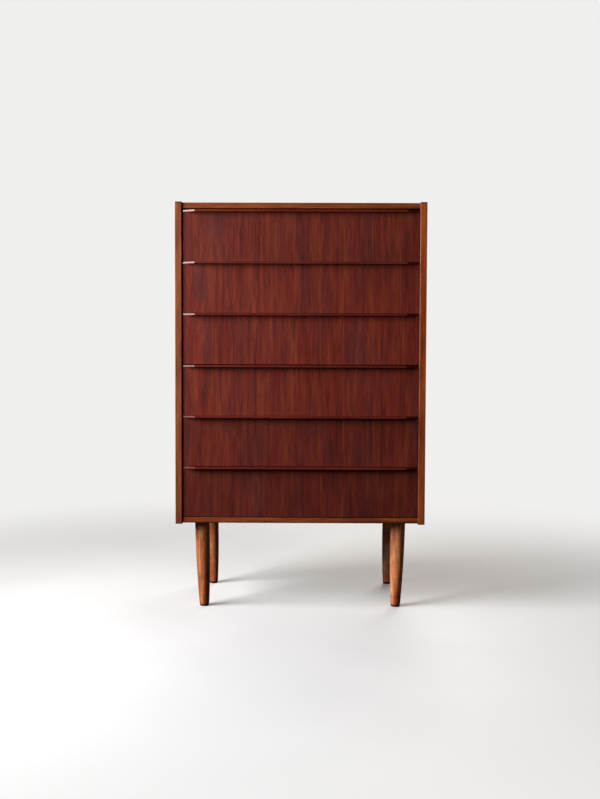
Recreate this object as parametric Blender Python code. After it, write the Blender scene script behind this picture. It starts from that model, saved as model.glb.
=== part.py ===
"""Tall chest of six drawers on turned legs, in metres, +Z up, with its front towards -Y.

The origin is on the floor under the middle of the chest, counting the lip handles that stand
out at the front. Left and right are as seen from the front, so left is -X. Drawer 1 is the top
one. Every drawer hangs on two hardwood runners that lie in grooves along its sides.
"""

import math

import bmesh
import bpy
from mathutils import Matrix

# Carcase
WIDTH = 0.720
DEPTH = 0.400
BODY_HEIGHT = 0.925
LEG_CLEARANCE = 0.252
SIDE_THICK = 0.0195
PANEL_THICK = 0.016
SIDE_OVERHANG = 0.002
SIDE_FORWARD = 0.0045
SIDE_CHAMFER = 0.0015
BACK_THICK = 0.004
BACK_RABBET_DEPTH = 0.005
BACK_RABBET_WIDTH = 0.007
BACK_RABBET_HEIGHT = 0.008

# Legs
LEG_INSET_X = 0.0712
LEG_INSET_Y = 0.058
LEG_TOP_RADIUS = 0.0212
LEG_FOOT_RADIUS = 0.0137
LEG_TAPER_POWER = 2.3
LEG_LEAN = 0.0255
LEG_SHOULDER_ROUND = 0.001
LEG_FOOT_ROUND = 0.0015
SPIGOT_RADIUS = 0.010
SPIGOT_LENGTH = 0.012
LEG_STEPS = 32
LEG_RINGS = 9

# Drawers
DRAWER_COUNT = 6
SIDE_GAP = 0.0015
TOP_GAP = 0.0055
BETWEEN_GAP = 0.0015
BOTTOM_GAP = 0.002
SETTLED_DRAWER = 4
SETTLED_BY = 0.001
DRAWER_DEPTH = 0.370
FRONT_THICK = 0.018
LIP_THICK = 0.0055
LIP_PROJECTION = 0.015
LIP_END_TAPER = 0.036
BOX_SIDE_THICK = 0.012
BOX_SIDE_BOTTOM = 0.006
BOX_SIDE_HEIGHT = 0.117
BOX_BACK_THICK = 0.010
BOX_BACK_DROP = 0.006
BOX_BACK_INSET = 0.008
BOX_BACK_DADO = 0.004
BOX_BOTTOM_THICK = 0.004
BOX_BOTTOM_RISE = 0.0105
BOX_BOTTOM_GROOVE = 0.005
BOX_BOTTOM_REAR = 0.002

# Dovetails between a drawer's sides and its front
TAIL_COUNT = 3
TAIL_LENGTH = 0.012
TAIL_HALF_ROOT = 0.0115
TAIL_FLARE = 1.0 / 6.0

# Runners
RUNNER_THICK = 0.007
RUNNER_HEIGHT = 0.0154
RUNNER_LENGTH = 0.345
RUNNER_START = 0.008
RUNNER_GROOVE_DEPTH = 0.006
RUNNER_GROOVE_HEIGHT = 0.016
GROOVE_START = 0.004

# Clearances
GAP = 0.0003
CUT_PAST = 0.001
WELD = 0.00001
ORIGIN = (0.0, 0.0, 0.0)

# Levels and faces that follow from the sizes above
TOTAL_HEIGHT = LEG_CLEARANCE + BODY_HEIGHT
BACK_Y = (DEPTH + LIP_PROJECTION - SIDE_FORWARD) / 2
SIDE_FRONT_Y = BACK_Y - DEPTH
FACE_Y = SIDE_FRONT_Y + SIDE_FORWARD
RABBET_Y = BACK_Y - BACK_RABBET_DEPTH
INNER_X = WIDTH / 2 - SIDE_THICK
BOTTOM_PANEL_Z = LEG_CLEARANCE + SIDE_OVERHANG
TOP_PANEL_Z = TOTAL_HEIGHT - SIDE_OVERHANG - PANEL_THICK
OPENING_Z = BOTTOM_PANEL_Z + PANEL_THICK
STACK_GAPS = TOP_GAP + BOTTOM_GAP + BETWEEN_GAP * (DRAWER_COUNT - 1)
DRAWER_HEIGHT = (TOP_PANEL_Z - OPENING_Z - STACK_GAPS) / DRAWER_COUNT
DRAWER_PITCH = DRAWER_HEIGHT + BETWEEN_GAP
FRONT_HEIGHT = DRAWER_HEIGHT - LIP_THICK - GAP
DRAWER_HALF = INNER_X - SIDE_GAP
BOX_INNER_HALF = DRAWER_HALF - BOX_SIDE_THICK
BOX_SIDE_TOP = BOX_SIDE_BOTTOM + BOX_SIDE_HEIGHT
BOX_BOTTOM_Z = BOX_SIDE_BOTTOM + BOX_BOTTOM_RISE
BOX_BACK_Y = DRAWER_DEPTH - BOX_BACK_INSET - BOX_BACK_THICK
RUNNER_Z = BOX_SIDE_BOTTOM + BOX_SIDE_HEIGHT / 2

TEAK_VENEER = ("teak_veneer", (0.115, 0.032, 0.018), 0.42)
TEAK_SOLID = ("teak_solid", (0.240, 0.085, 0.032), 0.45)
LEG_WOOD = ("stained_beech", (0.330, 0.130, 0.045), 0.40)
DRAWER_WOOD = ("beech", (0.480, 0.300, 0.150), 0.55)
RUNNER_WOOD = ("runner_beech", (0.400, 0.240, 0.110), 0.50)
PLYWOOD = ("plywood", (0.420, 0.270, 0.140), 0.65)
BACKBOARD = ("hardboard", (0.160, 0.085, 0.040), 0.75)


def clear_scene():
    """Start from an empty scene."""
    for obj in list(bpy.data.objects):
        bpy.data.objects.remove(obj)


def new_collection(name, rendered=True):
    """A collection under the scene's own one."""
    made = bpy.data.collections.new(name)
    made.hide_render = not rendered
    bpy.context.scene.collection.children.link(made)
    return made


def finish_of(name, colour, roughness):
    """The Principled material of this name, made when first asked for."""
    found = bpy.data.materials.get(name)
    if found:
        return found
    made = bpy.data.materials.new(name)
    made.use_nodes = True
    shader = made.node_tree.nodes["Principled BSDF"]
    shader.inputs["Base Color"].default_value = (*colour, 1.0)
    shader.inputs["Roughness"].default_value = roughness
    shader.inputs["Metallic"].default_value = 0.0
    return made


def add_part(name, data, place, finish, parent=None):
    """An object of the chest, at its place in its parent's frame."""
    part = bpy.data.objects.new(name, data)
    part.location = place
    part.parent = parent
    if not data.materials:
        data.materials.append(finish_of(*finish))
    PARTS.objects.link(part)
    return part


def add_cutter(name, data, place=ORIGIN):
    """A helper that is only cut with."""
    cutter = bpy.data.objects.new(name, data)
    cutter.location = place
    cutter.hide_render = True
    cutter.display_type = "WIRE"
    CUTTERS.objects.link(cutter)
    return cutter


def middle(span):
    return (span[0] + span[1]) / 2


def ordered(a, b):
    return (min(a, b), max(a, b))


def box_mesh(name, x, y, z):
    """A box centred on its own origin, of the size that these spans have."""
    size = [span[1] - span[0] for span in (x, y, z)]
    shape = bmesh.new()
    bmesh.ops.create_cube(shape, size=1.0, matrix=Matrix.Diagonal((*size, 1.0)))
    mesh = bpy.data.meshes.new(name)
    shape.to_mesh(mesh)
    shape.free()
    return mesh


def add_box(name, x, y, z, finish, parent=None):
    """A part that fills these spans."""
    place = (middle(x), middle(y), middle(z))
    return add_part(name, box_mesh(name, x, y, z), place, finish, parent)


def add_box_cutter(name, x, y, z):
    """A cutter that fills these spans."""
    return add_cutter(name, box_mesh(name, x, y, z), (middle(x), middle(y), middle(z)))


def outline_curve(name, points, thickness):
    """A flat filled outline in the local XY plane, extruded to a thickness about it."""
    curve = bpy.data.curves.new(name, "CURVE")
    curve.dimensions = "2D"
    curve.fill_mode = "BOTH"
    curve.extrude = thickness / 2
    spline = curve.splines.new("POLY")
    spline.points.add(len(points) - 1)
    for point, (across, up) in zip(spline.points, points):
        point.co = (across, up, 0.0, 1.0)
    spline.use_cyclic_u = True
    return curve


def outline_mesh(name, points, thickness, turn=None):
    """The same extrusion as a closed mesh, turned so that it can be cut or can cut."""
    stand_in = bpy.data.objects.new(name, outline_curve(name, points, thickness))
    CUTTERS.objects.link(stand_in)
    bpy.context.view_layer.update()
    graph = bpy.context.evaluated_depsgraph_get()
    mesh = bpy.data.meshes.new_from_object(stand_in.evaluated_get(graph))
    bpy.data.objects.remove(stand_in)
    shape = bmesh.new()
    shape.from_mesh(mesh)
    bmesh.ops.remove_doubles(shape, verts=shape.verts, dist=WELD)
    if turn:
        bmesh.ops.transform(shape, matrix=turn, verts=shape.verts)
    bmesh.ops.recalc_face_normals(shape, faces=shape.faces)
    shape.to_mesh(mesh)
    shape.free()
    mesh.materials.clear()
    return mesh


def cut_mesh(name, mesh, cutters):
    """The mesh with the cutters taken out, in the frame that it already has."""
    blank = add_cutter(name, mesh)
    for cutter in cutters:
        boolean = blank.modifiers.new(cutter.name, "BOOLEAN")
        boolean.operation = "DIFFERENCE"
        boolean.object = cutter
    bpy.context.view_layer.update()
    graph = bpy.context.evaluated_depsgraph_get()
    result = bpy.data.meshes.new_from_object(blank.evaluated_get(graph))
    bpy.data.objects.remove(blank)
    result.name = name
    return result


# Stands an outline up, drawn as (distance behind, height), so that it is extruded across X.
DEPTHWISE = Matrix.Rotation(math.radians(90), 4, "Z") @ Matrix.Rotation(math.radians(90), 4, "X")


def side_mesh(sign, side):
    """A side panel, chamfered along its inner front arris, with a stopped rabbet for the back."""
    outer = sign * WIDTH / 2
    inner = sign * INNER_X
    outline = [
        (outer, SIDE_FRONT_Y),
        (outer, BACK_Y),
        (inner, BACK_Y),
        (inner, SIDE_FRONT_Y + SIDE_CHAMFER),
        (inner + sign * SIDE_CHAMFER, SIDE_FRONT_Y),
    ]
    lift = Matrix.Translation((0.0, 0.0, LEG_CLEARANCE + BODY_HEIGHT / 2))
    blank = outline_mesh("side_panel", outline, BODY_HEIGHT, lift)
    rabbet = add_box_cutter(
        "back_rabbet_" + side,
        ordered(inner - sign * CUT_PAST, inner + sign * BACK_RABBET_WIDTH),
        (RABBET_Y, BACK_Y + CUT_PAST),
        (BOTTOM_PANEL_Z, TOP_PANEL_Z + BACK_RABBET_HEIGHT),
    )
    return cut_mesh("side_panel_" + side, blank, [rabbet])


def top_outline():
    """The top panel seen from its end, with a rabbet under its rear edge."""
    low = TOP_PANEL_Z
    high = TOP_PANEL_Z + PANEL_THICK
    return [
        (FACE_Y, low),
        (RABBET_Y, low),
        (RABBET_Y, low + BACK_RABBET_HEIGHT),
        (BACK_Y, low + BACK_RABBET_HEIGHT),
        (BACK_Y, high),
        (FACE_Y, high),
    ]


def make_carcase():
    for sign, side in ((-1, "left"), (1, "right")):
        add_part("side_panel_" + side, side_mesh(sign, side), ORIGIN, TEAK_VENEER)

    between = (-INNER_X + GAP, INNER_X - GAP)
    top = outline_mesh("top_panel", top_outline(), between[1] - between[0], DEPTHWISE)
    add_part("top_panel", top, ORIGIN, TEAK_VENEER)

    bottom_z = (BOTTOM_PANEL_Z, BOTTOM_PANEL_Z + PANEL_THICK)
    bottom = add_box("bottom_panel", between, (FACE_Y, RABBET_Y), bottom_z, TEAK_VENEER)
    for name, x, y in leg_places():
        socket = add_cutter("socket_" + name, socket_mesh(), (x, y, BOTTOM_PANEL_Z))
        boolean = bottom.modifiers.new(socket.name, "BOOLEAN")
        boolean.operation = "DIFFERENCE"
        boolean.object = socket

    back_half = INNER_X + BACK_RABBET_WIDTH - GAP
    back_y = (RABBET_Y + GAP, RABBET_Y + GAP + BACK_THICK)
    back_z = (BOTTOM_PANEL_Z + GAP, TOP_PANEL_Z + BACK_RABBET_HEIGHT - GAP)
    add_box("back_panel", (-back_half, back_half), back_y, back_z, BACKBOARD)


def leg_places():
    """Each leg's name and the middle of its shoulder."""
    x = WIDTH / 2 - LEG_INSET_X
    front = SIDE_FRONT_Y + LEG_INSET_Y
    rear = BACK_Y - LEG_INSET_Y
    return [
        ("leg_front_left", -x, front),
        ("leg_front_right", x, front),
        ("leg_rear_left", -x, rear),
        ("leg_rear_right", x, rear),
    ]


def socket_mesh():
    """The blind hole for a leg's spigot, from just under the bottom panel."""
    length = CUT_PAST + SPIGOT_LENGTH
    shape = bmesh.new()
    bmesh.ops.create_cone(
        shape,
        cap_ends=True,
        segments=LEG_STEPS,
        radius1=SPIGOT_RADIUS + GAP,
        radius2=SPIGOT_RADIUS + GAP,
        depth=length,
        matrix=Matrix.Translation((0.0, 0.0, length / 2 - CUT_PAST)),
    )
    mesh = bpy.data.meshes.new("leg_socket")
    shape.to_mesh(mesh)
    shape.free()
    return mesh


def leg_radius(down):
    """The leg's radius at this share of the way from its shoulder to the floor."""
    return LEG_TOP_RADIUS - (LEG_TOP_RADIUS - LEG_FOOT_RADIUS) * down**LEG_TAPER_POWER


def leg_profile():
    """Radius and height down the turned outline, from the spigot's top to the foot."""
    shoulder = BOTTOM_PANEL_Z - GAP
    spigot_top = shoulder + SPIGOT_LENGTH - GAP
    points = [(SPIGOT_RADIUS, spigot_top), (SPIGOT_RADIUS, shoulder)]
    points.append((LEG_TOP_RADIUS - LEG_SHOULDER_ROUND, shoulder))
    highest = shoulder - LEG_SHOULDER_ROUND
    for ring in range(LEG_RINGS + 1):
        z = highest + (LEG_FOOT_ROUND - highest) * ring / LEG_RINGS
        points.append((leg_radius(1.0 - z / shoulder), z))
    points.append((leg_radius(1.0) - LEG_FOOT_ROUND, 0.0))
    return points


def leg_mesh(x):
    """A leg turned on level rings, whose middles drift inward from the shoulder to the foot."""
    shoulder = BOTTOM_PANEL_Z - GAP
    inward = -math.copysign(LEG_LEAN, x)
    shape = bmesh.new()
    rings = []
    for radius, z in leg_profile():
        drift = inward * max(0.0, shoulder - z)
        ring = []
        for step in range(LEG_STEPS):
            angle = 2 * math.pi * step / LEG_STEPS
            spot = (drift + radius * math.cos(angle), radius * math.sin(angle), z)
            ring.append(shape.verts.new(spot))
        rings.append(ring)
    for upper, lower in zip(rings, rings[1:]):
        for step in range(LEG_STEPS):
            after = (step + 1) % LEG_STEPS
            shape.faces.new((upper[step], lower[step], lower[after], upper[after]))
    shape.faces.new(rings[0])
    shape.faces.new(rings[-1][::-1])
    mesh = bpy.data.meshes.new("leg")
    shape.to_mesh(mesh)
    shape.free()
    return mesh


def make_legs():
    for name, x, y in leg_places():
        add_part(name, leg_mesh(x), (x, y, 0.0), LEG_WOOD)


def tail_half_width(y):
    """Half a dovetail's width, this far behind the drawer's face."""
    return TAIL_HALF_ROOT + TAIL_FLARE * (FRONT_THICK - y)


def tail_levels():
    """The middle of each dovetail above the drawer's lower edge."""
    pitch = BOX_SIDE_HEIGHT / TAIL_COUNT
    return [BOX_SIDE_BOTTOM + pitch * (index + 0.5) for index in range(TAIL_COUNT)]


def tail_outline(level, root, tip, grow=0.0):
    """One dovetail seen from the side, from its root to its tip and back."""
    at_root = tail_half_width(root) + grow
    at_tip = tail_half_width(tip) + grow
    return [
        (root, level - at_root),
        (tip, level - at_tip),
        (tip, level + at_tip),
        (root, level + at_root),
    ]


def box_side_outline():
    """A drawer side seen from its own side, with its dovetails at the front."""
    root = FRONT_THICK + GAP
    tip = FRONT_THICK - TAIL_LENGTH
    points = [(DRAWER_DEPTH, BOX_SIDE_BOTTOM), (root, BOX_SIDE_BOTTOM)]
    for level in tail_levels():
        points.extend(tail_outline(level, root, tip))
    points.extend([(root, BOX_SIDE_TOP), (DRAWER_DEPTH, BOX_SIDE_TOP)])
    return points


def bottom_groove_z():
    return (BOX_BOTTOM_Z, BOX_BOTTOM_Z + BOX_BOTTOM_THICK + 2 * GAP)


def box_side_mesh(sign, side):
    """A drawer side in the drawer's frame, grooved for its runner, bottom and back."""
    outer = sign * DRAWER_HALF
    inner = sign * BOX_INNER_HALF
    slab = Matrix.Translation(((outer + inner) / 2, 0.0, 0.0)) @ DEPTHWISE
    blank = outline_mesh("box_side", box_side_outline(), BOX_SIDE_THICK, slab)

    past_outer = outer + sign * CUT_PAST
    past_inner = inner - sign * CUT_PAST
    past_rear = DRAWER_DEPTH + CUT_PAST
    half_groove = RUNNER_GROOVE_HEIGHT / 2
    runner = add_box_cutter(
        "runner_groove_" + side,
        ordered(outer - sign * RUNNER_GROOVE_DEPTH, past_outer),
        (FRONT_THICK + GROOVE_START, past_rear),
        (RUNNER_Z - half_groove, RUNNER_Z + half_groove),
    )
    bottom = add_box_cutter(
        "bottom_groove_" + side,
        ordered(inner + sign * (BOX_BOTTOM_GROOVE + GAP), past_inner),
        (0.0, past_rear),
        bottom_groove_z(),
    )
    back = add_box_cutter(
        "back_dado_" + side,
        ordered(inner + sign * (BOX_BACK_DADO + GAP), past_inner),
        (BOX_BACK_Y - GAP, BOX_BACK_Y + BOX_BACK_THICK + GAP),
        (BOX_BOTTOM_Z + BOX_BOTTOM_THICK, BOX_SIDE_TOP + CUT_PAST),
    )
    return cut_mesh("box_side_" + side, blank, (runner, bottom, back))


def front_mesh():
    """A drawer front in the drawer's frame, with dovetail sockets and the bottom's groove."""
    y = (0.0, FRONT_THICK)
    z = (0.0, FRONT_HEIGHT)
    blank = box_mesh("front", (-DRAWER_HALF, DRAWER_HALF), y, z)
    blank.transform(Matrix.Translation((0.0, middle(y), middle(z))))

    tip = FRONT_THICK - TAIL_LENGTH - GAP
    root = FRONT_THICK + CUT_PAST
    socket_depth = BOX_SIDE_THICK + GAP
    cutters = []
    for sign, side in ((-1, "left"), (1, "right")):
        centre = sign * (DRAWER_HALF + (CUT_PAST - socket_depth) / 2)
        turn = Matrix.Translation((centre, 0.0, 0.0)) @ DEPTHWISE
        for level in tail_levels():
            outline = tail_outline(level, root, tip, GAP)
            socket = outline_mesh("tail_socket_" + side, outline, socket_depth + CUT_PAST, turn)
            cutters.append(add_cutter("tail_socket_" + side, socket))
    groove = add_box_cutter(
        "bottom_groove_front",
        (-BOX_INNER_HALF, BOX_INNER_HALF),
        (FRONT_THICK - BOX_BOTTOM_GROOVE - GAP, root),
        bottom_groove_z(),
    )
    return cut_mesh("drawer_front", blank, (*cutters, groove))


def lip_outline():
    """The lip seen from above: it lies on the front's top and its ends are cut back."""
    return [
        (-DRAWER_HALF, 0.0),
        (-DRAWER_HALF + LIP_END_TAPER, -LIP_PROJECTION),
        (DRAWER_HALF - LIP_END_TAPER, -LIP_PROJECTION),
        (DRAWER_HALF, 0.0),
        (DRAWER_HALF, FRONT_THICK),
        (-DRAWER_HALF, FRONT_THICK),
    ]


def drawer_level(number):
    """The lower edge of a drawer's front. One drawer has settled a little on worn runners."""
    level = OPENING_Z + BOTTOM_GAP + DRAWER_PITCH * (DRAWER_COUNT - number)
    return level - SETTLED_BY if number == SETTLED_DRAWER else level


def make_drawers():
    """The six drawers, each under an empty at the foot of its own face, which slides in Y."""
    front = front_mesh()
    lip = outline_curve("lip_handle", lip_outline(), LIP_THICK)
    box_sides = {side: box_side_mesh(sign, side) for sign, side in ((-1, "left"), (1, "right"))}

    bottom_half = BOX_INNER_HALF + BOX_BOTTOM_GROOVE
    bottom_y = (FRONT_THICK - BOX_BOTTOM_GROOVE, DRAWER_DEPTH - BOX_BOTTOM_REAR)
    bottom_low = BOX_BOTTOM_Z + GAP
    bottom_z = (bottom_low, bottom_low + BOX_BOTTOM_THICK)
    back_half = BOX_INNER_HALF + BOX_BACK_DADO
    back_y = (BOX_BACK_Y, BOX_BACK_Y + BOX_BACK_THICK)
    back_z = (bottom_z[1] + GAP, BOX_SIDE_TOP - BOX_BACK_DROP)

    for number in range(1, DRAWER_COUNT + 1):
        name = f"drawer_{number}"
        level = drawer_level(number)
        slide = bpy.data.objects.new(name + "_slide", None)
        slide.location = (0.0, FACE_Y, level)
        PARTS.objects.link(slide)

        add_part(name + "_front", front, ORIGIN, TEAK_VENEER, slide)
        lip_place = (0.0, 0.0, FRONT_HEIGHT + GAP + LIP_THICK / 2)
        add_part(name + "_lip_handle", lip, lip_place, TEAK_SOLID, slide)
        for side, mesh in box_sides.items():
            add_part(f"{name}_side_{side}", mesh, ORIGIN, DRAWER_WOOD, slide)
        back_x = (-back_half, back_half)
        add_box(name + "_back", back_x, back_y, back_z, DRAWER_WOOD, slide)
        bottom_x = (-bottom_half, bottom_half)
        add_box(name + "_bottom", bottom_x, bottom_y, bottom_z, PLYWOOD, slide)
        make_runners(number, level)


def make_runners(number, level):
    """The two strips that carry one drawer, fixed to the insides of the side panels."""
    start = FACE_Y + FRONT_THICK + RUNNER_START
    low = level + RUNNER_Z - RUNNER_GROOVE_HEIGHT / 2 + GAP
    for sign, side in ((-1, "left"), (1, "right")):
        add_box(
            f"runner_{side}_{number}",
            ordered(sign * (INNER_X - RUNNER_THICK), sign * (INNER_X - GAP)),
            (start, start + RUNNER_LENGTH),
            (low, low + RUNNER_HEIGHT),
            RUNNER_WOOD,
        )


clear_scene()
PARTS = new_collection("tall_chest_of_drawers")
CUTTERS = new_collection("cutters", rendered=False)
make_carcase()
make_legs()
make_drawers()
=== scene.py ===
"""The looks of the tall chest of drawers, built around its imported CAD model.

Every visible piece is made here from the CAD node that it stands for: boards get their lippings
and rounded arrises, legs are turned again with more steps, and fasteners and foot glides are
added. All lengths are in metres, in the CAD model's frame: +Z up, front towards -Y.
"""

import math

import bmesh
import bpy
from mathutils import Matrix, Vector


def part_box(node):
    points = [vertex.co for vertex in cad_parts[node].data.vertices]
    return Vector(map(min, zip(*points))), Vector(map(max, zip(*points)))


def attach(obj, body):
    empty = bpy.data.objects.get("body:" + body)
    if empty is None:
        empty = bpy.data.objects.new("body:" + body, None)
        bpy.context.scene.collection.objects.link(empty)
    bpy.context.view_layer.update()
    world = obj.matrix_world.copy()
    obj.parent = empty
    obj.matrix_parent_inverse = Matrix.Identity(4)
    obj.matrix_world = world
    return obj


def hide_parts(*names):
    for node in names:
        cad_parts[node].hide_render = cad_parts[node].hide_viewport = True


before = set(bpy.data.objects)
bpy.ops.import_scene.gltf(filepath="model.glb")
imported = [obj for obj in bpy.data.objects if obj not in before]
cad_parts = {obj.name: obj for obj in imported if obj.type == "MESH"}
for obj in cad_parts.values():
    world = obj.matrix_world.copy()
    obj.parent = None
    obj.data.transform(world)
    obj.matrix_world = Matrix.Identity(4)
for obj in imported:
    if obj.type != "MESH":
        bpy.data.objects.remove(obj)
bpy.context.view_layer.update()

X, Y, Z = range(3)
DRAWERS = range(1, 7)
SIDES = ("left", "right")

# Joinery that the CAD model leaves plain
LIPPING_DEPTH = 0.009
EDGE_STRIP = 0.0030
GLUE_LINE = 0.00006
ARRIS = 0.0009
FINE_ARRIS = 0.0004
LIP_ARRIS = 0.0006
UNDER_ROUND = 0.0065
UNDER_STEPS = 10

# How far apart points may be to count as one, and the angles of flat and sharp edges
WELD = 1e-6
TOUCH = 1e-5
FLAT = math.radians(1)
SHARP = math.radians(12)

# Turned legs
LEG_STEPS = 72
LEG_RINGS = 40
LEG_TOP_RADIUS = 0.0212
LEG_FOOT_RADIUS = 0.0137
LEG_TAPER_POWER = 2.3
LEG_LEAN = 0.0255  # inward for each metre down
LEG_SHOULDER_ROUND = 0.0012
SHOULDER_GAP = 0.0003
SPIGOT_RADIUS = 0.0100
SPIGOT_CHAMFER = 0.0008
FOOT_ROUND = 0.0010
GLIDE_HEIGHT = 0.0060
GLIDE_RADIUS = 0.0132
GLIDE_ROUND = 0.0018

# Fasteners
SCREW_RADIUS = 0.0032
SCREW_PROUD = 0.0003
SLOT_FLOOR = 0.00005
SCREW_TOP_RADIUS = SCREW_RADIUS * 0.92
SCREW_EDGE = SCREW_PROUD * 0.4
SLOT_HALF_WIDTH = SCREW_RADIUS * 0.14
SCREWS_PER_RUNNER = 3
SCREW_INSET = 0.3  # the outer screws' distance from a runner's ends, in screw spacings
SCREW_TURN = 35  # degrees from one screw's slot to the next one's
NAIL_RADIUS = 0.0013
NAIL_PROUD = 0.0004
NAIL_RIM_ANGLE = 46  # degrees at which the dome's arc ends, before it is flattened
NAIL_MARGIN = 0.0035
NAIL_PITCH = 0.11
NAILS_PER_BOTTOM = 5
HEAD_STEPS = 20
HEAD_SUNK = 0.0003

# How much each drawer front's colour is lightened or darkened, from the top drawer down: painted
# light and shade that stands in for how the light falls from front to front
FRONT_LIGHT_AND_SHADE = (0.93, 1.07, 1.12, 1.14, 0.96, 0.88)

# The main colour of each wood and the two that it drifts to in patches, all linear
TEAK_RED = ((0.156, 0.0170, 0.0105), (0.178, 0.029, 0.010), (0.106, 0.0165, 0.0155))
TEAK_EDGE = ((0.250, 0.056, 0.010), (0.310, 0.082, 0.014), (0.180, 0.035, 0.009))
# The stained beech is the legs' own colour, with its blue raised a little as painted sheen
STAINED_BEECH = ((0.590, 0.172, 0.063), (0.745, 0.305, 0.122), (0.400, 0.078, 0.031))
BEECH = ((0.480, 0.286, 0.162), (0.560, 0.352, 0.210), (0.400, 0.225, 0.122))
BIRCH_PLY = ((0.520, 0.345, 0.205), (0.590, 0.415, 0.265), (0.440, 0.280, 0.160))

# Veins in the veneer: how many a metre across the grain, and their colours
DARK_VEINS = 17.0
LIGHT_VEINS = 13.0
DARK_VEIN = (0.020, 0.006, 0.005, 1.0)
LIGHT_VEIN = (0.250, 0.058, 0.020, 1.0)

# What the wood's colour is multiplied by in its pores and towards a leg's foot, which is made
# darker and redder
PORE = (0.25, 0.20, 0.20, 1.0)
FOOT_DARKENING = (0.95, 0.52, 0.45, 1.0)
DARKENING_HEIGHTS = (0.02, 0.12)

# The range that most of a noise texture's values lie in
NOISE_SPAN = (0.3, 0.7)

# What each leg's wood colour is multiplied by, as painted light and shade: the right legs are
# lightened and blued as painted light and painted sheen, the left legs a little darkened as
# painted shade
LEG_LIGHT_AND_SHADE = {
    "front_left": (0.90, 0.88, 0.82),
    "front_right": (1.36, 1.62, 1.72),
    "rear_left": (0.92, 0.88, 0.92),
    "rear_right": (1.70, 1.75, 2.20),
}

# The grain's direction and the tone of each carcase panel's front edge
EDGE_TONES = (
    ("left", "Z", (0.95, 0.98, 1.20)),
    ("right", "Z", (1.25, 1.10, 1.05)),
    ("top", "X", (0.90, 0.85, 0.72)),
    ("bottom", "X", (1.15, 1.00, 1.30)),
)

# How much the chamfer of each side panel's front edge is lightened or darkened: painted light on
# the left one, which faces away from the window, and painted shade on the right one, which damps
# its highlight from the window
CHAMFER_LIGHT_AND_SHADE = {"left": 2.10, "right": 0.36}

# The lightest that a toned colour's channel may get
PALEST = 0.95

# Staging
FLOOR_RADIUS = 6.0
FLOOR_DROP = 0.0004
FLOOR_FADE = (0.5, 2.2)  # metres from the origin where the floor starts to fade and is gone
CAMERA_LENS = 42.88
CAMERA_PLACE = (0.0124, -2.9267, 0.7342)
CAMERA_ANGLES = (2.534, 0.285, 0.199)  # degrees down, to the left and of roll


# ---------------------------------------------------------------- mesh code


def finish_piece(name, shape, body, nodes, materials):
    """Turn an edited mesh into a smooth-shaded piece that rides on a body."""
    mesh = bpy.data.meshes.new(name)
    bmesh.ops.recalc_face_normals(shape, faces=shape.faces)
    for face in shape.faces:
        face.smooth = True
    shape.to_mesh(mesh)
    shape.free()
    for material in materials:
        mesh.materials.append(material)
    piece = bpy.data.objects.new(name, mesh)
    bpy.context.scene.collection.objects.link(piece)
    weighted = piece.modifiers.new("flat_faces", "WEIGHTED_NORMAL")
    weighted.keep_sharp = True
    weighted.weight = 80
    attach(piece, body)
    if nodes:
        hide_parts(*nodes)


def whole_faces(node):
    """A CAD node's mesh with its flat faces made whole again."""
    shape = bmesh.new()
    shape.from_mesh(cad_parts[node].data)
    bmesh.ops.remove_doubles(shape, verts=shape.verts, dist=WELD)
    bmesh.ops.dissolve_limit(
        shape,
        angle_limit=FLAT,
        verts=shape.verts,
        edges=shape.edges,
        use_dissolve_boundaries=False,
    )
    for face in shape.faces:
        face.material_index = 0
    return shape


def keep_side(shape, point, normal):
    """Saw the shape at a plane, drop what lies beyond it along the normal, and cap it."""
    geometry = [*shape.verts, *shape.edges, *shape.faces]
    bmesh.ops.bisect_plane(
        shape, geom=geometry, plane_co=point, plane_no=normal, clear_outer=True
    )
    rim = [edge for edge in shape.edges if edge.is_boundary]
    bmesh.ops.edgeloop_fill(shape, edges=rim)


def extent(shape):
    """Lowest and highest corner of a shape."""
    low = Vector(map(min, *(vert.co for vert in shape.verts)))
    high = Vector(map(max, *(vert.co for vert in shape.verts)))
    return low, high


def lies_at(edge, axis, level, slack):
    """Whether the whole edge lies at this level of an axis."""
    return all(abs(vert.co[axis] - level) < slack for vert in edge.verts)


def round_arrises(shape, width, steps=2, choose=None):
    """Round the shape's sharp edges, all of them or the chosen ones. The new faces get slot 1."""
    sharp = []
    for edge in shape.edges:
        if len(edge.link_faces) == 2 and edge.calc_face_angle() > SHARP:
            if choose is None or choose(edge):
                sharp.append(edge)
    bmesh.ops.bevel(
        shape,
        geom=sharp,
        offset=width,
        segments=steps,
        profile=0.5,
        affect="EDGES",
        clamp_overlap=True,
        material=1,
    )


def round_long_edge(shape, radius, y, z):
    """Round the edge that runs along X at this y and z."""
    along = []
    for edge in shape.edges:
        if lies_at(edge, Y, y, TOUCH) and lies_at(edge, Z, z, TOUCH):
            along.append(edge)
    bmesh.ops.bevel(
        shape, geom=along, offset=radius, segments=UNDER_STEPS, profile=0.5, affect="EDGES"
    )


def mark_chamfer(shape):
    """Give slot 2 to the faces that look slantwise across the front."""
    for face in shape.faces:
        if min(abs(face.normal.x), -face.normal.y) > 0.5:
            face.material_index = 2


def outer_only(shape):
    """A test for the edges that lie along the edges of the shape's own box."""
    low, high = extent(shape)

    def along_box(edge):
        planes = 0
        for axis in (X, Y, Z):
            for level in (low[axis], high[axis]):
                planes += lies_at(edge, axis, level, TOUCH)
        return planes >= 2

    return along_box


def lathe(profile, steps):
    """A solid turned round the Z axis. The profile's first and last points lie on the axis."""
    shape = bmesh.new()
    rings = []
    for radius, z in profile[1:-1]:
        ring = []
        for step in range(steps):
            angle = 2 * math.pi * step / steps
            ring.append(shape.verts.new((radius * math.cos(angle), radius * math.sin(angle), z)))
        rings.append(ring)
    for upper, lower in zip(rings, rings[1:]):
        for step in range(steps):
            after = (step + 1) % steps
            shape.faces.new((upper[step], lower[step], lower[after], upper[after]))
    shape.faces.new(rings[0])
    shape.faces.new(rings[-1][::-1])
    return shape


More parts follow.
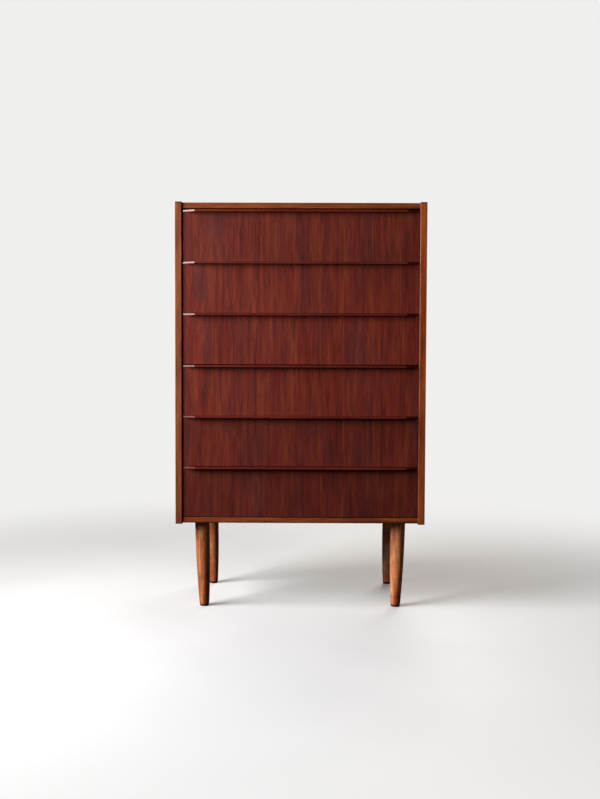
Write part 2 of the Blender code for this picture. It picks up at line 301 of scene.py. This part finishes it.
def arc(centre, radius, start, end, steps):
    """Points of a circular arc in the profile plane, angles in degrees."""
    points = []
    for step in range(steps + 1):
        angle = math.radians(start + (end - start) * step / steps)
        points.append((centre[0] + radius * math.cos(angle), centre[1] + radius * math.sin(angle)))
    return points


def joined_copies(pattern, places):
    """One shape that holds a copy of the pattern at each of these matrices."""
    mesh = bpy.data.meshes.new("pattern")
    pattern.to_mesh(mesh)
    pattern.free()
    shape = bmesh.new()
    for place in places:
        before = len(shape.verts)
        shape.from_mesh(mesh)
        shape.verts.ensure_lookup_table()
        bmesh.ops.transform(shape, matrix=place, verts=shape.verts[before:])
    bpy.data.meshes.remove(mesh)
    return shape


# ---------------------------------------------------------------- material code


class Tree:
    """A material's nodes, added by short calls that return the new node's output."""

    def __init__(self, name):
        self.material = bpy.data.materials.new(name)
        self.material.use_nodes = True
        self.nodes = self.material.node_tree.nodes
        self.links = self.material.node_tree.links
        self.shader = self.nodes["Principled BSDF"]

    def put(self, value, socket):
        """Link an output to a socket, or set the socket's own value."""
        if isinstance(value, bpy.types.NodeSocket):
            self.links.new(value, socket)
        else:
            socket.default_value = value

    def maths(self, operation, first, second=0.0):
        node = self.nodes.new("ShaderNodeMath")
        node.operation = operation
        self.put(first, node.inputs[0])
        self.put(second, node.inputs[1])
        return node.outputs[0]

    def spread(self, value, low, high, to_low=0.0, to_high=1.0, smooth=True):
        """The value mapped from one range to another, and kept inside it."""
        node = self.nodes.new("ShaderNodeMapRange")
        node.interpolation_type = "SMOOTHSTEP" if smooth else "LINEAR"
        self.put(value, node.inputs["Value"])
        node.inputs["From Min"].default_value = low
        node.inputs["From Max"].default_value = high
        node.inputs["To Min"].default_value = to_low
        node.inputs["To Max"].default_value = to_high
        return node.outputs["Result"]

    def mix(self, factor, first, second, blend="MIX"):
        node = self.nodes.new("ShaderNodeMix")
        node.data_type = "RGBA"
        node.blend_type = blend
        self.put(factor, node.inputs["Factor"])
        self.put(first, node.inputs[6])
        self.put(second, node.inputs[7])
        return node.outputs[2]

    def shaded(self, colour, level):
        """The colour with all of its channels multiplied by one level."""
        grey = self.nodes.new("ShaderNodeCombineColor")
        for channel in grey.inputs[:3]:
            self.put(level, channel)
        return self.mix(1.0, colour, grey.outputs[0], blend="MULTIPLY")

    def ramp(self, value, first, second):
        """A smooth passage between two linear colours over most of a noise's values."""
        node = self.nodes.new("ShaderNodeValToRGB")
        node.color_ramp.interpolation = "EASE"
        stops = zip(node.color_ramp.elements, NOISE_SPAN, (first, second))
        for element, position, colour in stops:
            element.position = position
            element.color = (*colour, 1.0)
        self.put(value, node.inputs["Fac"])
        return node.outputs["Color"]

    def place(self, grain, offset=(0.0, 0.0, 0.0)):
        """Object coordinates turned so that the grain runs along the third one."""
        coordinates = self.nodes.new("ShaderNodeTexCoord").outputs["Object"]
        split = self.nodes.new("ShaderNodeSeparateXYZ")
        self.links.new(coordinates, split.inputs[0])
        order = {"X": (1, 2, 0), "Y": (2, 0, 1), "Z": (0, 1, 2)}[grain]
        joined = self.nodes.new("ShaderNodeCombineXYZ")
        for axis, source in enumerate(order):
            moved = self.maths("ADD", split.outputs[source], offset[axis])
            self.links.new(moved, joined.inputs[axis])
        return joined.outputs[0]

    def stretch(self, vector, across, along):
        """The vector scaled for a pattern of this many repeats a metre across and along."""
        node = self.nodes.new("ShaderNodeVectorMath")
        node.operation = "MULTIPLY"
        self.links.new(vector, node.inputs[0])
        node.inputs[1].default_value = (across, across, along)
        return node.outputs[0]

    def across(self, vector):
        """How far a point lies to the side of the grain."""
        split = self.nodes.new("ShaderNodeSeparateXYZ")
        self.links.new(vector, split.inputs[0])
        return self.maths("ADD", split.outputs[0], split.outputs[1])

    def along(self, vector):
        """How far a point lies along the grain."""
        split = self.nodes.new("ShaderNodeSeparateXYZ")
        self.links.new(vector, split.inputs[0])
        return split.outputs[2]

    def noise(self, vector, across, along, detail=2.0, roughness=0.5):
        node = self.nodes.new("ShaderNodeTexNoise")
        self.links.new(self.stretch(vector, across, along), node.inputs["Vector"])
        node.inputs["Scale"].default_value = 1.0
        node.inputs["Detail"].default_value = detail
        node.inputs["Roughness"].default_value = roughness
        return node.outputs["Fac"]

    def veins(self, vector, per_metre, drift, width):
        """Narrow lines along the grain that drift sideways and come and go."""
        slow = self.noise(vector, 8.0, 1.4, detail=0.0)
        path = self.weighted(((self.across(vector), per_metre), (slow, drift)))
        off_path = self.maths("ABSOLUTE", self.maths("SUBTRACT", self.maths("FRACT", path), 0.5))
        line = self.spread(off_path, 0.0, width, 1.0, 0.0)
        present = self.spread(self.noise(vector, 11.0, 5.0, detail=1.0), 0.46, 0.62)
        return self.maths("MULTIPLY", line, present)

    def wander(self, vector, across, along, amount):
        """The vector with a slow sideways drift, so that grain lines aren't ruled."""
        node = self.nodes.new("ShaderNodeTexNoise")
        self.links.new(self.stretch(vector, across, along), node.inputs["Vector"])
        node.inputs["Scale"].default_value = 1.0
        node.inputs["Detail"].default_value = 1.5
        centred = self.nodes.new("ShaderNodeVectorMath")
        centred.operation = "MULTIPLY_ADD"
        self.links.new(node.outputs["Color"], centred.inputs[0])
        centred.inputs[1].default_value = (2 * amount, 2 * amount, 0.0)
        centred.inputs[2].default_value = (-amount, -amount, 0.0)
        moved = self.nodes.new("ShaderNodeVectorMath")
        moved.operation = "ADD"
        self.links.new(vector, moved.inputs[0])
        self.links.new(centred.outputs[0], moved.inputs[1])
        return moved.outputs[0]

    def weighted(self, pairs):
        """The sum of each value times its weight."""
        total = None
        for value, weight in pairs:
            term = self.maths("MULTIPLY", value, weight)
            total = term if total is None else self.maths("ADD", total, term)
        return total

    def swung(self, level, patterns, depths):
        """The level, moved up and down by each pattern as far as its depth says."""
        for pattern, depth in zip(patterns, depths):
            swing = self.spread(pattern, *NOISE_SPAN, -depth, depth, smooth=False)
            level = self.maths("ADD", level, swing)
        return level

    def bump(self, height, strength, distance):
        node = self.nodes.new("ShaderNodeBump")
        node.inputs["Strength"].default_value = strength
        node.inputs["Distance"].default_value = distance
        self.links.new(height, node.inputs["Height"])
        self.links.new(node.outputs["Normal"], self.shader.inputs["Normal"])

    def set(self, name, value):
        self.put(value, self.shader.inputs[name])


def wood(
    name,
    grain,
    tints,
    depths=(0.13, 0.21, 0.21, 0.17),
    scale=1.0,
    veins=0.0,
    roughness=(0.40, 0.54),
    specular=0.35,
    relief=0.10,
    pores=0.35,
    lighten=1.0,
    figure=0.0,
    pore_size=(1500.0, 45.0),
    foot_darkening=0.0,
    length=1.0,
):
    """Wood whose grain runs along one axis.

    The tints are the main colour and the two that it drifts to in patches. The depths are how far
    patches, streaks, lines and hair lines go lighter and darker. Scale makes them finer, and
    length draws all but the hair lines out along the grain. Veins, pores and figure are strengths
    from 0 to 1, and figure stands for short blotches and the faint rings that turning leaves. The
    pore size is in pores a metre across and along. The foot darkening makes a leg's lowest part
    darker and redder.
    """
    tree = Tree(name)
    straight = tree.place(grain)
    place = tree.wander(straight, 2.5, 1.6, 0.006)
    drawn = scale / length
    main, warm, cool = ((*tint, 1.0) for tint in tints)
    warmth = tree.noise(place, 55.0 * scale, 5.0 * drawn, detail=3.0, roughness=0.6)
    colour = tree.mix(tree.spread(warmth, 0.40, 0.72), main, warm)
    elsewhere = tree.place(grain, (3.1, 5.7, 2.3))
    coolness = tree.noise(elsewhere, 26.0 * scale, 5.0 * drawn, detail=4.0)
    colour = tree.mix(tree.spread(coolness, 0.46, 0.74), colour, cool)

    streak = tree.noise(place, 110.0 * scale, 5.5 * drawn, detail=2.0)
    line = tree.noise(place, 430.0 * scale, 20.0 * drawn, detail=1.0, roughness=0.6)
    hair = tree.noise(place, 1000.0 * scale, 170.0 * scale, detail=1.0)
    shade = tree.swung(1.0, (warmth, streak, line, hair), depths)
    if figure:
        blotch = tree.noise(place, 70.0, 38.0, detail=3.0, roughness=0.6)
        turned = tree.noise(straight, 9.0, 330.0, detail=2.0)
        shade = tree.swung(shade, (blotch, turned), (figure, figure * 0.4))
    colour = tree.shaded(colour, tree.maths("MULTIPLY", shade, lighten))
    # A leg's lowest part is made darker and redder
    if foot_darkening:
        low_down = tree.spread(tree.along(straight), *DARKENING_HEIGHTS, foot_darkening, 0.0)
        colour = tree.mix(low_down, colour, FOOT_DARKENING, blend="MULTIPLY")
    if veins:
        dark = tree.veins(place, DARK_VEINS, 1.3, 0.030)
        colour = tree.mix(tree.maths("MULTIPLY", dark, veins), colour, DARK_VEIN)
        light = tree.veins(tree.place(grain, (1.3, 0.7, 2.9)), LIGHT_VEINS, 0.5, 0.022)
        colour = tree.mix(tree.maths("MULTIPLY", light, veins), colour, LIGHT_VEIN)
    pitted = tree.spread(tree.noise(place, *pore_size, detail=1.0), 0.58, 0.70)
    colour = tree.mix(tree.maths("MULTIPLY", pitted, pores), colour, PORE, blend="MULTIPLY")
    tree.set("Base Color", colour)

    worn = tree.noise(straight, 18.0, 6.0, detail=2.0)
    gloss = tree.weighted(((worn, 0.6), (line, 0.4)))
    tree.set("Roughness", tree.spread(gloss, *NOISE_SPAN, *roughness, smooth=False))
    tree.set("Specular IOR Level", specular)
    tree.bump(tree.weighted(((line, 0.5), (pitted, -0.5))), relief, 0.0004)
    return tree.material


def satin(name, colour, roughness, metallic=0.0, mottle=0.1, scale=400.0, cloud=0.0):
    """A plain material with a fine mottle in its colour, gloss and relief, and broad clouds."""
    tree = Tree(name)
    place = tree.place("Z")
    speck = tree.noise(place, scale, scale, detail=3.0)
    darker = tuple(channel * (1.0 - mottle) for channel in colour)
    lighter = tuple(min(1.0, channel * (1.0 + mottle)) for channel in colour)
    tint = tree.ramp(speck, darker, lighter)
    if cloud:
        patch = tree.noise(place, 7.0, 4.0, detail=4.0, roughness=0.6)
        level = tree.spread(patch, *NOISE_SPAN, 1.0 - cloud, 1.0 + cloud, smooth=False)
        tint = tree.shaded(tint, level)
    tree.set("Base Color", tint)
    tree.set("Roughness", tree.spread(speck, *NOISE_SPAN, *roughness, smooth=False))
    tree.set("Metallic", metallic)
    tree.bump(speck, 0.05, 0.0002)
    return tree.material


def toned(tints, tone):
    """The tints multiplied by the tone, channel by channel, and kept below white."""
    return tuple(
        tuple(min(PALEST, channel * factor) for channel, factor in zip(tint, tone))
        for tint in tints
    )


def make_materials():
    """Every material by its name."""
    made = {}
    # Each front and its arrises carry that front's painted light and shade
    for number, tone in zip(DRAWERS, FRONT_LIGHT_AND_SHADE):
        made[f"front_{number}"] = wood(
            f"teak_veneer_front_{number}", "Z", TEAK_RED, veins=0.75, lighten=tone
        )
        made[f"front_arris_{number}"] = wood(
            f"teak_front_arris_{number}", "Z", TEAK_RED, lighten=1.2 * tone
        )
    broad = dict(veins=0.6, lighten=1.15, length=3.5, depths=(0.10, 0.20, 0.21, 0.15))
    made["panel"] = wood("teak_veneer_panel", "Z", TEAK_RED, **broad)
    made["panel_flat"] = wood("teak_veneer_flat", "X", TEAK_RED, **broad)
    for part, grain, tone in EDGE_TONES:
        made["edge_" + part] = wood(
            "teak_edge_" + part, grain, toned(TEAK_EDGE, tone), pores=0.25
        )
    # The chamfers' colours carry painted light and shade
    for side, tone in CHAMFER_LIGHT_AND_SHADE.items():
        made["chamfer_" + side] = wood(
            "teak_chamfer_" + side, "Z", TEAK_EDGE, pores=0.25, specular=0.2,
            roughness=(0.50, 0.60), lighten=tone
        )
    made["end_strip"] = wood("teak_end_strip", "Y", TEAK_RED, lighten=0.75)
    made["lip"] = wood(
        "teak_lip", "X", TEAK_RED, depths=(0.08, 0.12, 0.08, 0.0), roughness=(0.32, 0.34),
        specular=0.5, relief=0.0, pores=0.1, lighten=0.95
    )
    # Each leg's material carries that leg's painted light and shade
    for place, tone in LEG_LIGHT_AND_SHADE.items():
        made["leg_" + place] = wood(
            "stained_beech_" + place, "Z", toned(STAINED_BEECH, tone),
            depths=(0.08, 0.12, 0.10, 0.06), scale=1.6, roughness=(0.30, 0.42), pores=0.1,
            specular=0.65, figure=0.26, foot_darkening=0.35
        )
    plain = dict(depths=(0.04, 0.06, 0.05, 0.04), pores=0.45, pore_size=(1300.0, 260.0))
    made["box_back_to_front"] = wood("beech_lengthwise", "Y", BEECH, **plain)
    made["box_across"] = wood("beech_crosswise", "X", BEECH, **plain)
    made["runner"] = wood("beech_runner", "Y", BEECH, lighten=0.85, **plain)
    made["ply"] = wood(
        "birch_plywood", "X", BIRCH_PLY, scale=0.5, depths=(0.07, 0.08, 0.05, 0.03), pores=0.1
    )
    made["backing"] = satin(
        "hardboard_back", (0.150, 0.082, 0.042), (0.60, 0.80), mottle=0.22, scale=900.0, cloud=0.16
    )
    made["brass"] = satin("brassed_screw", (0.62, 0.47, 0.22), (0.28, 0.42), metallic=1.0)
    made["steel"] = satin("bright_nail", (0.46, 0.46, 0.45), (0.30, 0.45), metallic=1.0)
    made["glide"] = satin("dark_nylon_glide", (0.016, 0.013, 0.012), (0.45, 0.60))
    return made


# ---------------------------------------------------------------- pieces


def make_side_panel(side, look):
    """A side panel as veneered board, solid front lipping and strips over its two ends."""
    node = "side_panel_" + side
    low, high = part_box(node)
    joint_y = low.y + LIPPING_DEPTH
    base_z, top_z = low.z + EDGE_STRIP, high.z - EDGE_STRIP
    glued = ((Y, joint_y), (Z, base_z), (Z, top_z))

    def off_joint(edge):
        """Edges on a glued face stay sharp, so that the joint closes."""
        return not any(lies_at(edge, axis, level, 2 * GLUE_LINE) for axis, level in glued)

    edge, chamfer = look["edge_" + side], look["chamfer_" + side]
    panel, strip = look["panel"], look["end_strip"]
    above_base = ((0, 0, base_z + GLUE_LINE), (0, 0, -1))
    below_top = ((0, 0, top_z - GLUE_LINE), (0, 0, 1))
    before_joint = ((0, joint_y - GLUE_LINE, 0), (0, 1, 0))
    behind_joint = ((0, joint_y, 0), (0, -1, 0))
    at_top = ((0, 0, top_z), (0, 0, -1))
    at_base = ((0, 0, base_z), (0, 0, 1))
    for part, slot, materials, planes in (
        ("lipping", "teak_solid", (edge, edge, chamfer), (above_base, below_top, before_joint)),
        ("board", "teak_veneer", (panel, panel), (above_base, below_top, behind_joint)),
        ("top_strip", "teak_solid", (strip, strip), (at_top,)),
        ("bottom_strip", "teak_solid", (strip, strip), (at_base,)),
    ):
        shape = whole_faces(node)
        for point, normal in planes:
            keep_side(shape, point, normal)
        if part == "lipping":
            mark_chamfer(shape)
        round_arrises(shape, ARRIS, 3, off_joint)
        finish_piece(f"side_{side}_{part}", shape, "root", [node], materials)


def make_level_panel(node, look):
    """The top or bottom panel as veneered board and solid front lipping."""
    low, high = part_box(node)
    joint_y = low.y + LIPPING_DEPTH

    def off_joint(edge):
        """Edges at the joints and in the legs' sockets stay sharp."""
        on_joint = lies_at(edge, Y, joint_y, 2 * GLUE_LINE)
        at_side = any(lies_at(edge, X, level, GLUE_LINE) for level in (low.x, high.x))
        in_socket = all(low.z < vert.co.z < high.z - TOUCH for vert in edge.verts)
        return not (on_joint or at_side or in_socket)

    lipping = whole_faces(node)
    keep_side(lipping, (0, joint_y - GLUE_LINE, 0), (0, 1, 0))
    if node == "bottom_panel":
        round_long_edge(lipping, UNDER_ROUND, low.y, low.z)
    round_arrises(lipping, ARRIS, 3, off_joint)
    edge = look["edge_" + node.split("_")[0]]
    finish_piece(node + "_lipping", lipping, "root", [node], (edge, edge))

    board = whole_faces(node)
    keep_side(board, (0, joint_y, 0), (0, -1, 0))
    outer = outer_only(board)
    round_arrises(board, FINE_ARRIS, 2, lambda edge: off_joint(edge) and outer(edge))
    flat = look["panel_flat"]
    finish_piece(node + "_board", board, "root", [node], (flat, flat))


def leg_radius(down):
    """The leg's radius at this share of the way from its shoulder to the floor."""
    return LEG_TOP_RADIUS - (LEG_TOP_RADIUS - LEG_FOOT_RADIUS) * down**LEG_TAPER_POWER


def lean(shape, inward, shoulder):
    """Drift the rings below the shoulder inward, and keep them level."""
    for vert in shape.verts:
        vert.co.x += inward * LEG_LEAN * max(0.0, shoulder - vert.co.z)


def leg_profile(top, shoulder):
    """The leg's outline, from its spigot's top down to the glide."""
    profile = [(0.0, top), (SPIGOT_RADIUS - SPIGOT_CHAMFER, top)]
    profile += [(SPIGOT_RADIUS, top - SPIGOT_CHAMFER), (SPIGOT_RADIUS, shoulder)]
    corner = (LEG_TOP_RADIUS - LEG_SHOULDER_ROUND, shoulder - LEG_SHOULDER_ROUND)
    profile += arc(corner, LEG_SHOULDER_ROUND, 90, 0, 4)
    for ring in range(1, LEG_RINGS + 1):
        z = corner[1] + (GLIDE_HEIGHT + FOOT_ROUND - corner[1]) * ring / LEG_RINGS
        profile.append((leg_radius(1.0 - z / shoulder), z))
    foot = leg_radius(1.0 - GLIDE_HEIGHT / shoulder)
    profile.append((foot - FOOT_ROUND * 0.3, GLIDE_HEIGHT + FOOT_ROUND * 0.3))
    profile.append((foot - FOOT_ROUND, GLIDE_HEIGHT))
    profile.append((0.0, GLIDE_HEIGHT))
    return profile


def glide_profile():
    """The outline of the glide under a foot, from its top to the floor."""
    profile = [(0.0, GLIDE_HEIGHT - GLUE_LINE), (GLIDE_RADIUS, GLIDE_HEIGHT - GLUE_LINE)]
    profile += arc((GLIDE_RADIUS - GLIDE_ROUND, GLIDE_ROUND), GLIDE_ROUND, 0, -90, 5)
    profile.append((0.0, 0.0))
    return profile


def make_leg(place, look):
    """A turned leg with its spigot, and a nylon glide under its foot."""
    node = "leg_" + place
    low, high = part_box(node)
    inward = 1 if "left" in place else -1
    outer_x = low.x if inward > 0 else high.x
    centre = Matrix.Translation((outer_x + inward * LEG_TOP_RADIUS, (low.y + high.y) / 2, 0.0))
    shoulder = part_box("bottom_panel")[0].z - SHOULDER_GAP
    for name, profile, nodes, material in (
        (node + "_turned", leg_profile(high.z, shoulder), [node], look[node]),
        ("glide_" + place, glide_profile(), [], look["glide"]),
    ):
        turned = lathe(profile, LEG_STEPS)
        lean(turned, inward, shoulder)
        bmesh.ops.transform(turned, matrix=centre, verts=turned.verts)
        finish_piece(name, turned, "root", nodes, (material,))


def make_soft_copy(node, body, materials, width, steps=2, outer=False):
    """A piece with the CAD node's own shape and rounded arrises."""
    shape = whole_faces(node)
    round_arrises(shape, width, steps, outer_only(shape) if outer else None)
    finish_piece(node + "_fine", shape, body, [node], materials)


def make_drawer(number, look):
    """One drawer: front, lip handle and the box behind them."""
    body = f"drawer_{number}"
    face = (look[f"front_{number}"], look[f"front_arris_{number}"])
    make_soft_copy(body + "_front", body, face, ARRIS, 3, outer=True)
    lip = (look["lip"], look["lip"])
    make_soft_copy(body + "_lip_handle", body, lip, LIP_ARRIS, 4)
    for side in SIDES:
        long = (look["box_back_to_front"],) * 2
        make_soft_copy(f"{body}_side_{side}", body, long, FINE_ARRIS)
    across = (look["box_across"],) * 2
    make_soft_copy(body + "_back", body, across, FINE_ARRIS)
    make_soft_copy(body + "_bottom", body, (look["ply"],) * 2, FINE_ARRIS / 2)


def nail_head():
    """A low domed nail head, driven into a surface at z = 0."""
    dome = arc((0.0, 0.0), 1.0, 90, NAIL_RIM_ANGLE, 4)
    width, rim = dome[-1]
    profile = [(r / width * NAIL_RADIUS, (z - rim) / (1.0 - rim) * NAIL_PROUD) for r, z in dome]
    profile += [(NAIL_RADIUS, -HEAD_SUNK), (0.0, -HEAD_SUNK)]
    return lathe(profile, HEAD_STEPS)


def in_slot(centre):
    """Whether a face with this centre is the strip of the screw's top between its slot's sides."""
    return abs(centre.y) < SLOT_HALF_WIDTH and centre.z > SCREW_PROUD - WELD


def screw_head():
    """A slotted countersunk screw head, driven into a surface at z = 0."""
    profile = [(0.0, SCREW_PROUD), (SCREW_TOP_RADIUS, SCREW_PROUD), (SCREW_RADIUS, SCREW_EDGE)]
    profile += [(SCREW_RADIUS, -HEAD_SUNK), (0.0, -HEAD_SUNK)]
    shape = lathe(profile, HEAD_STEPS)
    for level in (-SLOT_HALF_WIDTH, SLOT_HALF_WIDTH):
        geometry = [*shape.verts, *shape.edges, *shape.faces]
        bmesh.ops.bisect_plane(shape, geom=geometry, plane_co=(0, level, 0), plane_no=(0, 1, 0))
    slot = [face for face in shape.faces if in_slot(face.calc_center_median())]
    for face in bmesh.ops.extrude_discrete_faces(shape, faces=slot)["faces"]:
        for vert in face.verts:
            vert.co.z = SLOT_FLOOR
    return shape


def make_runner_screws(look):
    """Screws through the runners into the side panels, their slots turned by different angles."""
    places = []
    for side, sign in (("left", 1), ("right", -1)):
        turn = Matrix.Rotation(math.radians(90 * sign), 4, "Y")
        for number in DRAWERS:
            low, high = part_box(f"runner_{side}_{number}")
            face = high.x if sign > 0 else low.x
            for index in range(SCREWS_PER_RUNNER):
                share = (index + SCREW_INSET) / (SCREWS_PER_RUNNER - 1 + 2 * SCREW_INSET)
                y = low.y + (high.y - low.y) * share
                angle = math.radians(SCREW_TURN * (index + 2 * number))
                spot = Matrix.Translation((face, y, (low.z + high.z) / 2))
                places.append(spot @ turn @ Matrix.Rotation(angle, 4, "Z"))
    screws = joined_copies(screw_head(), places)
    finish_piece("runner_screws", screws, "root", [], (look["brass"],))


def make_back_nails(look):
    """Nails all round the back panel's margin."""
    low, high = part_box("back_panel")
    turn = Matrix.Rotation(math.radians(-90), 4, "X")
    places = []
    across = round((high.x - low.x) / NAIL_PITCH)
    upward = round((high.z - low.z) / NAIL_PITCH)
    for index in range(across + 1):
        x = low.x + NAIL_MARGIN + (high.x - low.x - 2 * NAIL_MARGIN) * index / across
        for z in (low.z + NAIL_MARGIN, high.z - NAIL_MARGIN):
            places.append(Matrix.Translation((x, high.y, z)) @ turn)
    for index in range(1, upward):
        z = low.z + NAIL_MARGIN + (high.z - low.z - 2 * NAIL_MARGIN) * index / upward
        for x in (low.x + NAIL_MARGIN, high.x - NAIL_MARGIN):
            places.append(Matrix.Translation((x, high.y, z)) @ turn)
    nails = joined_copies(nail_head(), places)
    finish_piece("back_nails", nails, "root", [], (look["steel"],))


def make_bottom_nails(number, look):
    """Nails up through a drawer's bottom into its back."""
    body = f"drawer_{number}"
    low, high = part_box(body + "_bottom")
    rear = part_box(body + "_back")
    y = (rear[0].y + rear[1].y) / 2
    under = Matrix.Rotation(math.radians(180), 4, "X")
    places = []
    for index in range(NAILS_PER_BOTTOM):
        x = low.x + (high.x - low.x) * (index + 0.5) / NAILS_PER_BOTTOM
        places.append(Matrix.Translation((x, y, low.z)) @ under)
    nails = joined_copies(nail_head(), places)
    finish_piece(body + "_nails", nails, body, [], (look["steel"],))


def make_chest(look):
    """Every visible piece of the chest."""
    for side in SIDES:
        make_side_panel(side, look)
    make_level_panel("top_panel", look)
    make_level_panel("bottom_panel", look)
    backing = (look["backing"],) * 2
    make_soft_copy("back_panel", "root", backing, FINE_ARRIS / 2)
    for place in LEG_LIGHT_AND_SHADE:
        make_leg(place, look)
    for side in SIDES:
        for number in DRAWERS:
            node = f"runner_{side}_{number}"
            make_soft_copy(node, "root", (look["runner"],) * 2, FINE_ARRIS)
    for number in DRAWERS:
        make_drawer(number, look)
    make_runner_screws(look)
    make_back_nails(look)
    for number in DRAWERS:
        make_bottom_nails(number, look)


# ---------------------------------------------------------------- floor, light and camera


def make_floor():
    """A plain pale floor that fades out all round, away from the chest."""
    shape = bmesh.new()
    bmesh.ops.create_circle(shape, cap_ends=True, segments=96, radius=FLOOR_RADIUS)
    mesh = bpy.data.meshes.new("floor")
    shape.to_mesh(mesh)
    shape.free()
    floor = bpy.data.objects.new("floor", mesh)
    floor.location = (0.0, 0.0, -FLOOR_DROP)
    tree = Tree("pale_floor")
    place = tree.place("Z")
    cloud = tree.noise(place, 1.5, 1.5, detail=3.0)
    tree.set("Base Color", tree.ramp(cloud, (0.74, 0.75, 0.76), (0.80, 0.81, 0.82)))
    tree.set("Roughness", 0.6)
    tree.set("Emission Color", (1.0, 1.0, 1.0, 1.0))
    tree.set("Emission Strength", 0.12)
    length = tree.nodes.new("ShaderNodeVectorMath")
    length.operation = "LENGTH"
    tree.links.new(place, length.inputs[0])
    tree.set("Alpha", tree.spread(length.outputs["Value"], *FLOOR_FADE, 1.0, 0.0))
    mesh.materials.append(tree.material)
    bpy.context.scene.collection.objects.link(floor)
    floor.visible_diffuse = False
    floor.visible_glossy = False


def make_world():
    """A pale surrounding that the camera sees brighter than it lights."""
    world = bpy.data.worlds.new("studio")
    world.use_nodes = True
    bpy.context.scene.world = world
    nodes, links = world.node_tree.nodes, world.node_tree.links
    nodes.clear()
    output = nodes.new("ShaderNodeOutputWorld")
    seen = nodes.new("ShaderNodeBackground")
    seen.inputs["Color"].default_value = (0.87, 0.865, 0.86, 1.0)
    seen.inputs["Strength"].default_value = 1.0
    lights = nodes.new("ShaderNodeBackground")
    lights.inputs["Color"].default_value = (1.0, 0.80, 0.72, 1.0)
    lights.inputs["Strength"].default_value = 0.04
    path = nodes.new("ShaderNodeLightPath")
    mixer = nodes.new("ShaderNodeMixShader")
    links.new(path.outputs["Is Camera Ray"], mixer.inputs[0])
    links.new(lights.outputs[0], mixer.inputs[1])
    links.new(seen.outputs[0], mixer.inputs[2])
    links.new(mixer.outputs[0], output.inputs["Surface"])


def add_area_light(name, place, target, size, power, colour):
    """A square light that faces its target."""
    light = bpy.data.lights.new(name, "AREA")
    light.shape = "SQUARE"
    light.size = size
    light.energy = power
    light.color = colour
    lamp = bpy.data.objects.new(name, light)
    lamp.location = place
    towards = Vector(target) - Vector(place)
    lamp.rotation_euler = towards.to_track_quat("-Z", "Y").to_euler()
    bpy.context.scene.collection.objects.link(lamp)


def make_lights():
    """A large soft window to the left of the front, and a weak fill from behind."""
    add_area_light(
        "window",
        place=(-1.90, -1.05, 1.60),
        target=(0.0, -1.05, 1.60),
        size=1.6,
        power=134.0,
        colour=(1.0, 0.99, 0.98),
    )
    add_area_light(
        "rear_fill",
        place=(0.9, 2.8, 2.0),
        target=(0.0, 0.0, 0.6),
        size=1.8,
        power=50.0,
        colour=(1.0, 0.93, 0.86),
    )


def make_camera():
    """A view square to the front, from a little over half of the chest's height."""
    camera = bpy.data.cameras.new("camera")
    camera.sensor_width = 36.0
    camera.lens = CAMERA_LENS
    eye = bpy.data.objects.new("camera", camera)
    eye.location = CAMERA_PLACE
    pitch, yaw, roll = (math.radians(angle) for angle in CAMERA_ANGLES)
    turn = Matrix.Rotation(yaw, 4, "Z") @ Matrix.Rotation(math.radians(90) - pitch, 4, "X")
    eye.rotation_euler = (turn @ Matrix.Rotation(roll, 4, "Z")).to_euler()
    bpy.context.scene.collection.objects.link(eye)
    bpy.context.scene.camera = eye


def main():
    bpy.context.scene.view_settings.view_transform = "Standard"
    make_chest(make_materials())
    make_floor()
    make_world()
    make_lights()
    make_camera()
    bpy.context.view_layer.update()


main()
